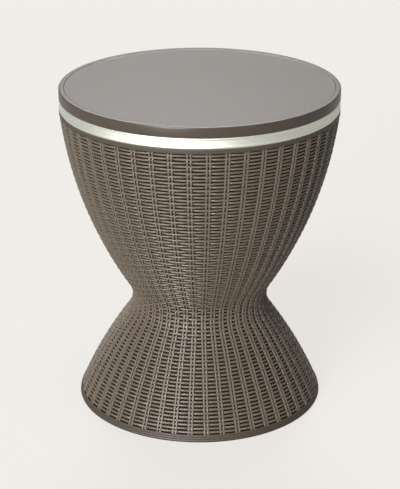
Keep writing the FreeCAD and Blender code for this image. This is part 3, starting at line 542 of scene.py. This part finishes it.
def silver_material(tint):
    """Satin anodised aluminium trim: bright, with a soft blur drawn round the ring."""
    material, tree, shader = fresh("satin_silver_trim")
    spot = add(tree, "TexCoord").outputs["Object"]
    # Drawing lines run level round the ring, 0.4 mm apart, as coarse as they need to show
    coarse, fine = 1 / (30 * MM), 1 / (0.4 * MM)
    level = add(tree, "Mapping", {"Vector": spot, "Scale": (coarse, coarse, fine)})
    lines = add(tree, "TexNoise", {"Vector": level.outputs["Vector"], "Scale": 1.0})
    bump = add(tree, "Bump", {"Height": lines.outputs["Fac"], "Distance": 0.02 * MM, "Strength": 0.35})
    feed(tree, shader, {
        "Base Color": mottled(tree, spot, tint, size=40 * MM, spread=0.02),
        "Metallic": 1.0,
        "Roughness": 0.48,
        "Normal": bump.outputs["Normal"],
    })
    return material


def foam_material(name, tint):
    """Expanded polystyrene: pale beads about 3 mm across, fused together."""
    material, tree, shader = fresh(name)
    spot = add(tree, "TexCoord").outputs["Object"]
    bead = 3 * MM
    beads = add(tree, "TexVoronoi", {"Vector": spot, "Scale": 1 / bead}, feature="F1")
    # Beads stand highest in their middles, so the distance from there counts down
    middles = beads.outputs["Distance"]
    bump = add(tree, "Bump", {"Height": middles, "Distance": -0.3 * MM, "Strength": 0.6})
    feed(tree, shader, {
        "Base Color": mottled(tree, spot, tint, size=bead, spread=0.04),
        "Roughness": 0.85,
        "Normal": bump.outputs["Normal"],
    })
    return material


def rubber_material(tint):
    """Soft moulded rubber: near black, with a dull even surface."""
    material, tree, shader = fresh("sealing_rubber")
    spot = add(tree, "TexCoord").outputs["Object"]
    grain = add(tree, "TexNoise", {"Vector": spot, "Scale": 1 / (0.5 * MM)})
    bump = add(tree, "Bump", {"Height": grain.outputs["Fac"], "Distance": 0.04 * MM, "Strength": 0.5})
    feed(tree, shader, {
        "Base Color": mottled(tree, spot, tint, size=5 * MM, spread=0.15),
        "Roughness": 0.75,
        "Normal": bump.outputs["Normal"],
    })
    return material


def metal_material(name, tint, metallic, roughness, lines):
    """Extruded, coated or plated metal: fine upright marks of its making soften its shine."""
    material, tree, shader = fresh(name)
    spot = add(tree, "TexCoord").outputs["Object"]
    # The marks are finer on the real metal and are drawn as coarse as they need to show
    drawn = add(tree, "Mapping", {"Vector": spot, "Scale": (1 / lines, 1 / lines, 1 / (20 * MM))})
    marks = add(tree, "TexNoise", {"Vector": drawn.outputs["Vector"], "Scale": 1.0})
    bump = add(tree, "Bump", {"Height": marks.outputs["Fac"], "Distance": 0.02 * MM, "Strength": 0.3})
    feed(tree, shader, {
        "Base Color": mottled(tree, spot, tint, size=15 * MM, spread=0.05),
        "Metallic": metallic,
        "Roughness": roughness,
        "Normal": bump.outputs["Normal"],
    })
    return material


# Woven shells
TURNED_SEGMENTS = 288
FOOT_BEVEL_IN = 2.0 * MM
FOOT_BEVEL_UP = 1.0 * MM
FOOT_RINGS = 3
FOOT_RING_STEPS = 6
FOOT_RING_RELIEF = 0.9 * MM
COLLAR_BEND = 0.8 * MM


def base_profile(sizes):
    """Base shell without its cords: foot rim, groove floor, flange and inner wall."""
    inner = sizes.relief + 2 * CORD_FOOT
    flange = PARTING - WAIST_FLANGE
    turns = np.linspace(0, FOOT_RINGS * math.pi, FOOT_RINGS * FOOT_RING_STEPS + 1)
    place = np.linspace(OUTLINE.place_of(FOOT_BEVEL_UP), sizes.foot_rim, len(turns))
    rim = np.stack(OUTLINE.at(place, FOOT_RING_RELIEF * (1 - np.abs(np.sin(turns)))), axis=1)
    outer = OUTLINE.stretch(sizes.foot_rim, PARTING_PLACE, sizes.relief)
    inside = OUTLINE.stretch(OUTLINE.place_of(flange), OUTLINE.place_of(SHELL_WALL), inner)
    lip = FOOT_RADIUS - FOOT_LIP
    foot = [(lip, 0.0), (FOOT_RADIUS - FOOT_BEVEL_IN, 0.0)]
    waist = [(WAIST_BORE, PARTING), (WAIST_BORE, flange)]
    return np.concatenate([foot, rim, outer, waist, inside, [(lip, SHELL_WALL)]])


def bowl_profile(sizes):
    """Bowl shell without its cords: flange, groove floor, collar, ledge and inner wall."""
    inner = sizes.relief + 2 * CORD_FOOT
    flange = PARTING + WAIST_FLANGE
    low = BOWL_TOP - sizes.collar
    outer = OUTLINE.stretch(PARTING_PLACE, OUTLINE.place_of(low), sizes.relief)
    inside = OUTLINE.stretch(WEAVE_TOP_PLACE, OUTLINE.place_of(flange), inner)
    ledge = TOP_RADIUS - LEDGE_WIDTH
    bend = COLLAR_BEND
    collar = [
        (TOP_RADIUS - bend, low),
        (TOP_RADIUS - bend / 4, low + bend / 4),
        (TOP_RADIUS, low + bend),
        (TOP_RADIUS, BOWL_TOP - bend),
        (TOP_RADIUS - bend, BOWL_TOP),
        (ledge, BOWL_TOP),
        (ledge, BOWL_TOP - SHELL_WALL),
        (TOP_RADIUS - inner, BOWL_TOP - SHELL_WALL),
    ]
    return np.concatenate([[(WAIST_BORE, PARTING)], outer, collar, inside, [(WAIST_BORE, flange)]])


def shell_piece(context, name, profile, lowest, highest):
    """Shell without its cords, with a smooth rim between two heights and grooves elsewhere, whose floor
    is painted dark as painted shade.
    """
    tints = context.scene.cooler_colours
    # The groove floor's dark tint is painted shade.
    grooves = groove_painted_shade_material(tints.recess_painted_shade)
    shell = piece(turned(name, profile, TURNED_SEGMENTS), BODY, grooves)
    smooth = moulded_material("moulded_rim", tints.rim, roughness=0.5, grain=0.9 * MM)
    shell.data.materials.append(smooth)
    for face in shell.data.polygons:
        if lowest <= face.center.z <= highest:
            face.material_index = 1
    return shell


def cord_pieces(context, part, resin, width, span, places, first_row, first):
    """Level strands at places along the wall, and upright cords over the whole span of the weave."""
    sizes, tints = context.scene.cooler_sizes, context.scene.cooler_colours
    level = strands(part + "_strands", sizes, width, places, first_row, first)
    piece(level, BODY, rattan_cord_material(resin + "_cord", tints.cord))
    upright = stakes(part + "_stakes", sizes, *span, places, first_row, first)
    # The stakes' lighter tint is painted highlight, for the light that the proud upright cords catch.
    piece(upright, BODY, rattan_cord_material(resin + "_stake_painted_highlight", tints.stake_painted_highlight))


class COOLER_OT_woven_base(bpy.types.Operator):
    """Make the woven base with its smooth foot rim"""

    bl_idname = "cooler_table.woven_base"
    bl_label = "Woven base"

    def execute(self, context):
        sizes = context.scene.cooler_sizes
        start, end = sizes.foot_rim, PARTING_PLACE
        rim_top = OUTLINE.at(start, 0.0)[1]
        shell = shell_piece(context, "base_shell_skin", base_profile(sizes), 0.0, rim_top)
        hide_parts("base_shell", "base_flange")
        places = row_places(start + sizes.end_groove, end, sizes.base_rows)
        first = FRONT + sizes.first_pair + sizes.base_turn
        width = sizes.base_strand
        cord_pieces(context, "base", "moulded_rattan", width, (start, end), places, 0, first)
        return {"FINISHED"}


class COOLER_OT_woven_bowl(bpy.types.Operator):
    """Make the woven bowl with its smooth collar"""

    bl_idname = "cooler_table.woven_bowl"
    bl_label = "Woven bowl"

    def execute(self, context):
        sizes = context.scene.cooler_sizes
        low = BOWL_TOP - sizes.collar
        start, end = PARTING_PLACE, OUTLINE.place_of(low)
        shell = shell_piece(context, "bowl_shell_skin", bowl_profile(sizes), low, BOWL_TOP)
        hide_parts("bowl_shell")
        places = row_places(start, end - sizes.end_groove, sizes.bowl_rows)
        below, first = sizes.base_rows, FRONT + sizes.first_pair
        width = sizes.bowl_strand
        cord_pieces(context, "bowl", "bowl_rattan", width, (start, end), places, below, first)
        return {"FINISHED"}


# Silver band
BULGE_STEPS = 8
BOTTOM_BEAD = 5.4 * MM
TOP_BEAD = 3.4 * MM
BAND_STEP = 1.2 * MM
BAND_COVE = 2.9 * MM
# Where the cove is deepest, as a share of the way from the bottom bead up to the top one
BAND_SLOPE = 0.8
BAND_EDGE = 2.8 * MM
BAND_WEB = 4.5 * MM
BAND_LIP = 9.5 * MM
BAND_LIP_THICKNESS = 2.2 * MM


def bulge(start, middle, end):
    """Points on a smooth bend through three points, the last one left out."""
    share = np.arange(BULGE_STEPS)[:, None] / BULGE_STEPS
    weights = ((1 - share) * (1 - 2 * share), 4 * share * (1 - share), share * (2 * share - 1))
    return sum(np.array(point) * weight for point, weight in zip((start, middle, end), weights))


def band_profile():
    """Silver band: a full bead at its foot, a cove that leans back, and a slim bead under the lid."""
    low, high = BOWL_TOP, BAND_TOP + BAND_RAISE
    face = TOP_RADIUS - BAND_STEP
    foot, brow = low + BOTTOM_BEAD, high - TOP_BEAD
    deep = foot + BAND_SLOPE * (brow - foot)
    rim = TOP_RADIUS - BAND_COVE
    edge, web, lip = TOP_RADIUS - BAND_EDGE, TOP_RADIUS - BAND_WEB, TOP_RADIUS - BAND_LIP
    lip_foot = BAND_TOP - BAND_LIP_THICKNESS
    return np.concatenate([
        bulge((face, low), (TOP_RADIUS, low + BOTTOM_BEAD / 2), (face, foot)),
        bulge((face, foot), ((face + rim) / 2, (foot + deep) / 2), (rim, deep)),
        bulge((rim, deep), (rim, (deep + brow) / 2), (face, brow)),
        bulge((face, brow), (TOP_RADIUS, high - TOP_BEAD / 2), (face, high)),
        [(face, high), (edge, high), (edge, BAND_TOP), (lip, BAND_TOP), (lip, lip_foot)],
        [(web, lip_foot), (web, low)],
    ])


class COOLER_OT_rim_band(bpy.types.Operator):
    """Make the silver band round the mouth"""

    bl_idname = "cooler_table.rim_band"
    bl_label = "Silver band"

    def execute(self, context):
        ring = turned("rim_band_skin", band_profile(), TURNED_SEGMENTS)
        silver = silver_material(context.scene.cooler_colours.band)
        band = piece(ring, BODY, silver, sharp=BAND_SHARP_ANGLE)
        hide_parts("rim_band")
        return {"FINISHED"}


# Lid
LID_WALL = 3.4 * MM
LID_PLATE = 3.0 * MM
LID_FOOT_ROUND = 1.5 * MM
LID_BROW_ROUND = 2.4 * MM
LID_SMALL_ROUND = 0.8 * MM
LID_SKIRT_ROUND = 0.6 * MM
LID_RIM_SLOPE = 1.5 * MM
# A ring of faces this far in from the rim keeps the rim's bend out of the deck's shading
LID_DECK_EDGE = 5.0 * MM


def lid_profile(sizes):
    """Lid's top: a plate with a raised rim and a skirt."""
    deck = HEIGHT - sizes.lid_dish
    inner = TOP_RADIUS - sizes.lid_rim
    return rounded(
        (0.0, deck - LID_PLATE, 0),
        (TOP_RADIUS - LID_WALL, deck - LID_PLATE, LID_SMALL_ROUND),
        (TOP_RADIUS - LID_WALL, LID_BOTTOM, LID_SKIRT_ROUND),
        (TOP_RADIUS, LID_BOTTOM, LID_FOOT_ROUND),
        (TOP_RADIUS, HEIGHT, LID_BROW_ROUND),
        (inner, HEIGHT, LID_SMALL_ROUND),
        (inner - LID_RIM_SLOPE, deck, LID_SMALL_ROUND),
        (inner - LID_DECK_EDGE, deck, 0),
        (0.0, deck, 0),
    )


class COOLER_OT_lid(bpy.types.Operator):
    """Make the lid's top and finish its underside"""

    bl_idname = "cooler_table.lid"
    bl_label = "Lid"

    def execute(self, context):
        tint = context.scene.cooler_colours.lid
        resin = moulded_material("moulded_lid", tint, roughness=0.3, grain=0.9 * MM, relief=0.2)
        plate = turned("lid_top_skin", lid_profile(context.scene.cooler_sizes), TURNED_SEGMENTS)
        top = piece(plate, TABLETOP, resin)
        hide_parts("lid_top")
        dress("lid_underside", resin)
        return {"FINISHED"}


def dress(name, material):
    """Give a construction node its finish."""
    made = frame["nodes"][name]
    made.data.materials.clear()
    made.data.materials.append(material)


class COOLER_OT_fittings(bpy.types.Operator):
    """Finish the tub, pole, sleeve, drain, seals and screws"""

    bl_idname = "cooler_table.fittings"
    bl_label = "Tub, pole and fittings"

    def execute(self, context):
        tints = context.scene.cooler_colours
        tub = moulded_material("moulded_tub", tints.tub, roughness=0.4, grain=0.7 * MM)
        foam = foam_material("bead_foam", linear("E9E6DD"))
        fitting = moulded_material("black_fitting_plastic", linear("2B2926"),
                                   roughness=0.45, grain=0.6 * MM)
        rubber = rubber_material(linear("1E1D1C"))
        pole = metal_material("satin_anodised_pole", linear("C9CACB"),
                              metallic=1.0, roughness=0.28, lines=0.6 * MM)
        sleeve = metal_material("powder_coated_steel", linear("4A4845"),
                                metallic=0.0, roughness=0.5, lines=0.8 * MM)
        screw = metal_material("zinc_plated_steel", linear("B9B8B2"),
                               metallic=1.0, roughness=0.35, lines=0.5 * MM)
        finishes = {
            "tub_plastic": tub,
            "foam": foam,
            "fitting_plastic": fitting,
            "seal_rubber": rubber,
            "pole_aluminium": pole,
            "sleeve_steel": sleeve,
            "screw_steel": screw,
        }
        for part in frame["record"]["subparts"]:
            if part["material_slot"] in finishes:
                dress(part["node"], finishes[part["material_slot"]])
        return {"FINISHED"}


# Stage: the camera that the photographed silhouette gives, in metres and millimetres of lens
CAMERA_ELEVATION = math.radians(21.73)
CAMERA_DISTANCE = 2.981
LENS = 122.6
SHIFT_X = 0.0006
SHIFT_Y = -0.0082
FLOOR_RADIUS = 9.0
FLOOR_THICKNESS = 0.02
FLOOR_SEGMENTS = 96

# Soft lamps far off: bearing from the front (right is positive) and elevation in degrees, and strength
LAMPS = {
    "window": (-25, 8, 1.3),
    "window_high": (-38, 45, 0.4),
    "front_high": (-12, 45, 0.28),
    "overhead": (0, 88, 0.3),
    "back": (182, 40, 0.62),
}
LAMP_ANGLE = math.radians(26)
# How bright the surroundings are in reflections, and the paper in light that it throws on the object
REFLECTED_SHARE = 0.42
BOUNCED_SHARE = 0.25
# How much of the paper's tone the camera sees without shadows, and how dark the paper is that takes them
PLAIN_SHARE = 0.75
PAPER_SHADE = 0.58


def aim(thing, place, target):
    """Put a camera or lamp at a place, looking at a target."""
    thing.location = place
    thing.rotation_euler = (Vector(target) - Vector(place)).to_track_quat("-Z", "Y").to_euler()
    bpy.context.scene.collection.objects.link(thing)


def soft_lamp(name, bearing, elevation, strength, target):
    """A broad lamp far off. A strength of 1 lights a white card that faces it to full white."""
    lamp = bpy.data.lights.new(name, "SUN")
    lamp.energy = strength * math.pi
    lamp.angle = LAMP_ANGLE
    side, high = math.radians(bearing), math.radians(elevation)
    way = Vector((math.sin(side) * math.cos(high), -math.cos(side) * math.cos(high), math.sin(high)))
    aim(bpy.data.objects.new(name, lamp), Vector(target) + way, target)


def floor_paper_material(tint):
    """Pale matte paper: plain as the backdrop but for soft shadows, and dimmer to all but the camera.

    Its emission is white to the camera and black to the rays that are to see the paper dimmer.
    """
    material, tree, shader = fresh("pale_floor_paper")
    spot = add(tree, "TexCoord").outputs["Object"]
    lit = [c * PAPER_SHADE for c in tint]
    feed(tree, shader, {
        "Base Color": mottled(tree, spot, lit, size=400 * MM, spread=0.005),
        "Roughness": 0.9,
        "Specular IOR Level": 0.0,
    })
    path = add(tree, "LightPath").outputs
    share = add(tree, "Math", {0: path["Is Camera Ray"], 1: PLAIN_SHARE}, operation="MULTIPLY")
    for ray, kept in (("Is Glossy Ray", REFLECTED_SHARE), ("Is Diffuse Ray", BOUNCED_SHARE)):
        inputs = {0: path[ray], 1: 1 - kept / PAPER_SHADE, 2: share.outputs[0]}
        share = add(tree, "Math", inputs, operation="MULTIPLY_ADD")
    plain = add(tree, "Emission", {"Color": shade(tint, 1.0), "Strength": path["Is Camera Ray"]})
    mix = add(tree, "MixShader", {0: share.outputs[0], 1: shader.outputs[0], 2: plain.outputs[0]})
    tree.links.new(mix.outputs[0], tree.nodes["Material Output"].inputs["Surface"])
    return material


def pale_surroundings(tint):
    """Pale backdrop that is seen, and reflected more weakly, while the lamps do the lighting."""
    world = bpy.data.worlds.new("studio")
    bpy.context.scene.world = world
    world.use_nodes = True
    tree = world.node_tree
    tree.nodes.clear()
    path = add(tree, "LightPath").outputs
    inputs = {0: path["Is Camera Ray"], 1: path["Is Transmission Ray"]}
    seen = add(tree, "Math", inputs, operation="MAXIMUM")
    inputs = {0: path["Is Glossy Ray"], 1: REFLECTED_SHARE, 2: seen.outputs[0]}
    strength = add(tree, "Math", inputs, operation="MULTIPLY_ADD")
    pale = add(tree, "Background", {"Color": shade(tint, 1.0), "Strength": strength.outputs[0]})
    out = add(tree, "OutputWorld")
    tree.links.new(pale.outputs[0], out.inputs["Surface"])


class COOLER_OT_stage(bpy.types.Operator):
    """Make the floor, the studio light and the camera"""

    bl_idname = "cooler_table.stage"
    bl_label = "Stage"

    def execute(self, context):
        tint = context.scene.cooler_colours.floor
        middle = (0.0, 0.0, HEIGHT / 2)
        edge, under = FLOOR_RADIUS, -FLOOR_THICKNESS
        paper = [(0.0, under), (edge, under), (edge, 0.0), (0.0, 0.0)]
        mesh = turned("floor", paper, FLOOR_SEGMENTS)
        mesh.materials.append(floor_paper_material(tint))
        floor = bpy.data.objects.new("floor", mesh)
        context.scene.collection.objects.link(floor)
        pale_surroundings(tint)
        for name, (bearing, elevation, strength) in LAMPS.items():
            soft_lamp(name, bearing, elevation, strength, middle)
        lens = bpy.data.cameras.new("camera")
        lens.lens = LENS
        lens.shift_x = SHIFT_X
        lens.shift_y = SHIFT_Y
        camera = bpy.data.objects.new("camera", lens)
        ahead = CAMERA_DISTANCE * math.cos(CAMERA_ELEVATION)
        above = CAMERA_DISTANCE * math.sin(CAMERA_ELEVATION)
        aim(camera, (0.0, -ahead, HEIGHT / 2 + above), middle)
        context.scene.camera = camera
        context.scene.view_settings.view_transform = "Standard"
        return {"FINISHED"}


class COOLER_PT_panel(bpy.types.Panel):
    """Sidebar panel with the settings and the steps"""

    bl_idname = "COOLER_PT_panel"
    bl_label = "Cooler Table"
    bl_space_type = "VIEW_3D"
    bl_region_type = "UI"
    bl_category = "Cooler Table"

    def draw(self, context):
        for settings in (context.scene.cooler_sizes, context.scene.cooler_colours):
            box = self.layout.box()
            for name in settings.__annotations__:
                box.prop(settings, name)
        for step in STEPS:
            self.layout.operator(step.bl_idname)


STEPS = (COOLER_OT_woven_base, COOLER_OT_woven_bowl, COOLER_OT_rim_band, COOLER_OT_lid,
         COOLER_OT_fittings, COOLER_OT_stage)
SETTINGS = (CoolerTableSizes, CoolerTableColours)


def register():
    for made in SETTINGS + STEPS + (COOLER_PT_panel,):
        bpy.utils.register_class(made)
    bpy.types.Scene.cooler_sizes = PointerProperty(type=CoolerTableSizes)
    bpy.types.Scene.cooler_colours = PointerProperty(type=CoolerTableColours)


def unregister():
    del bpy.types.Scene.cooler_colours
    del bpy.types.Scene.cooler_sizes
    for made in reversed(SETTINGS + STEPS + (COOLER_PT_panel,)):
        bpy.utils.unregister_class(made)


def main():
    register()
    for step in STEPS:
        group, name = step.bl_idname.split(".")
        getattr(getattr(bpy.ops, group), name)()


if __name__ == "__main__":
    main()
